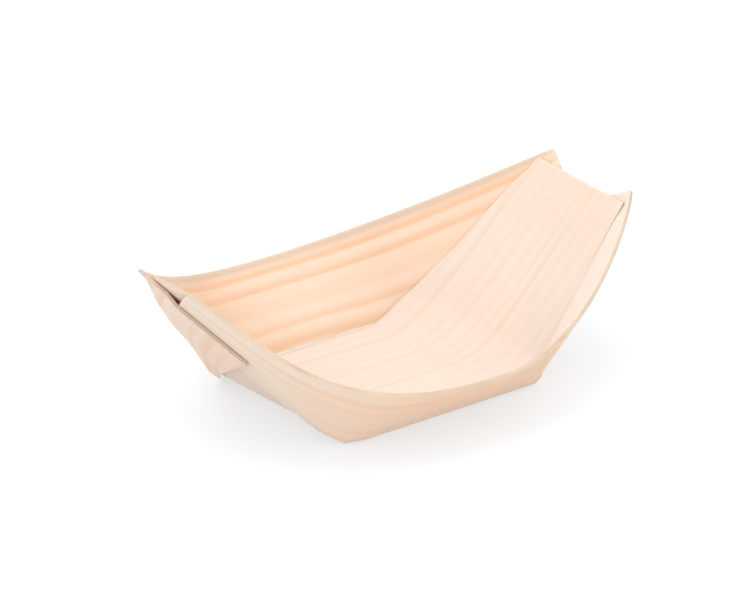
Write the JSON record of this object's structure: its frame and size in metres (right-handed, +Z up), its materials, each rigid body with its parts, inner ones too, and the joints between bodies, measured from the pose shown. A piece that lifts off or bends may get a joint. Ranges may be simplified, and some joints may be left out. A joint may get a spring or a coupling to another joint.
{
  "type": "wooden snack boat",
  "caption": "Shallow boat-shaped snack dish of folded pine veneer, with dipping side walls whose flaps wrap and lap over both upturned ends.",
  "frame": {"origin": "under the middle of the boat's length and width, on the surface it stands on", "axes": "+X along the length towards the wider end, +Y towards the far side wall, +Z up"},
  "size_m": [0.0872, 0.0608, 0.0279],
  "materials": {
    "floor_veneer": "bare, sliced smooth, matt",
    "wall_veneer": "bare, sliced smooth, matt",
    "scored_fibre": "crushed, fibrous",
    "clear_glue": "hardened, translucent"
  },
  "bodies": {
    "root": {"floor_strip": "floor_veneer", "far_wall": "wall_veneer", "near_wall": "wall_veneer", "far_score": "scored_fibre", "near_score": "scored_fibre", "right_inner_glue": "clear_glue", "right_outer_glue": "clear_glue", "left_inner_glue": "clear_glue", "left_outer_glue": "clear_glue"}
  },
  "joints": []
}
